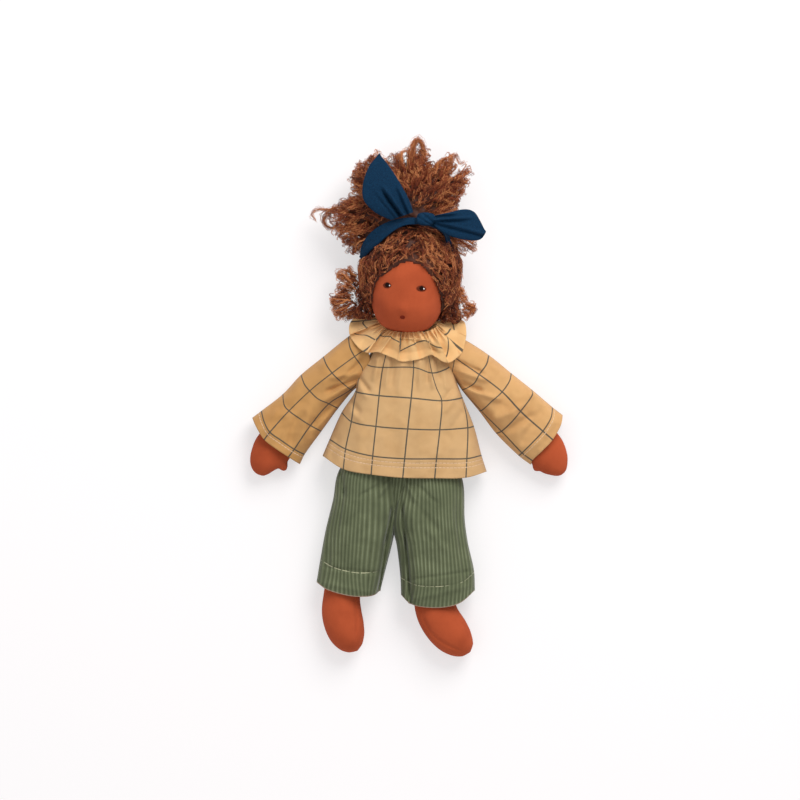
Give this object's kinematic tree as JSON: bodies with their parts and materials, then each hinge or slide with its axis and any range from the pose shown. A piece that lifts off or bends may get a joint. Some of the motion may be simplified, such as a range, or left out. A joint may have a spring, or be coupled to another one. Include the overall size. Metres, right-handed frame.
{
  "type": "waldorf doll",
  "caption": "Stuffed cloth doll with a tied head, curly hair and headband, jointed arms and legs, and sewn blouse and trousers.",
  "frame": {"origin": "the middle of the doll's back, on the surface that it lies on", "axes": "+Y towards the head, +X towards the doll's left hand, +Z out of its front, away from the surface"},
  "size_m": [0.2277, 0.3594, 0.0617],
  "materials": {
    "jersey": "matte knitted cotton",
    "wool": "carded wool",
    "thread": "twisted cotton thread",
    "eye_thread": "embroidery thread",
    "mouth_thread": "embroidery thread",
    "mohair": "curly mohair",
    "linen": "matte linen weave",
    "check_cotton": "matte cotton weave with a windowpane check",
    "corduroy": "fine ribbed corduroy",
    "elastic": "matte covered elastic"
  },
  "bodies": {
    "torso": {"torso_skin": "jersey", "torso_wool": "wool", "blouse_body": "check_cotton", "ruffle_collar": "check_cotton", "neck_elastic": "elastic", "trouser_seat": "corduroy", "waist_elastic": "elastic"},
    "head": {"head_skin": "jersey", "head_wool": "wool", "neck_tie": "thread", "left_eye": "eye_thread", "right_eye": "eye_thread", "mouth": "mouth_thread", "hair_cap": "mohair", "hair_puff": "mohair", "left_curls": "mohair", "right_curls": "mohair", "headband": "linen", "bow_knot": "linen", "bow_ear_right": "linen", "bow_ear_left": "linen"},
    "left_shoulder": {"left_shoulder_thread": "thread"},
    "left_arm": {"left_arm_skin": "jersey", "left_arm_wool": "wool", "left_sleeve": "check_cotton"},
    "right_shoulder": {"right_shoulder_thread": "thread"},
    "right_arm": {"right_arm_skin": "jersey", "right_arm_wool": "wool", "right_sleeve": "check_cotton"},
    "left_leg": {"left_leg_skin": "jersey", "left_leg_wool": "wool", "left_trouser_leg": "corduroy"},
    "right_leg": {"right_leg_skin": "jersey", "right_leg_wool": "wool", "right_trouser_leg": "corduroy"}
  },
  "joints": [
    {"name": "head_turn", "type": "hinge", "parent": "torso", "child": "head", "pos_m": [-0.004, 0.059, 0.024], "axis": [0, 1, 0], "range_deg": [-20, 20]},
    {"name": "left_shoulder_raise", "type": "hinge", "parent": "torso", "child": "left_shoulder", "pos_m": [0.039, 0.04, 0.0125], "axis": [0, 0, 1], "range_deg": [-15, 68]},
    {"name": "left_shoulder_swing", "type": "hinge", "parent": "left_shoulder", "child": "left_arm", "pos_m": [0.039, 0.04, 0.0125], "axis": [-0.617, -0.787, 0], "range_deg": [0, 60], "deforming": ["ruffle_collar"]},
    {"name": "right_shoulder_raise", "type": "hinge", "parent": "torso", "child": "right_shoulder", "pos_m": [-0.039, 0.04, 0.0125], "axis": [0, 0, -1], "range_deg": [-3, 80]},
    {"name": "right_shoulder_swing", "type": "hinge", "parent": "right_shoulder", "child": "right_arm", "pos_m": [-0.039, 0.04, 0.0125], "axis": [-0.7682, 0.6402, 0], "range_deg": [0, 60], "deforming": ["ruffle_collar"]},
    {"name": "left_hip", "type": "hinge", "parent": "torso", "child": "left_leg", "pos_m": [0.025, -0.059, 0.0175], "axis": [-1, 0, 0], "range_deg": [0, 90], "deforming": ["trouser_seat"]},
    {"name": "right_hip", "type": "hinge", "parent": "torso", "child": "right_leg", "pos_m": [-0.025, -0.059, 0.0175], "axis": [-1, 0, 0], "range_deg": [0, 90], "deforming": ["trouser_seat"]}
  ]
}
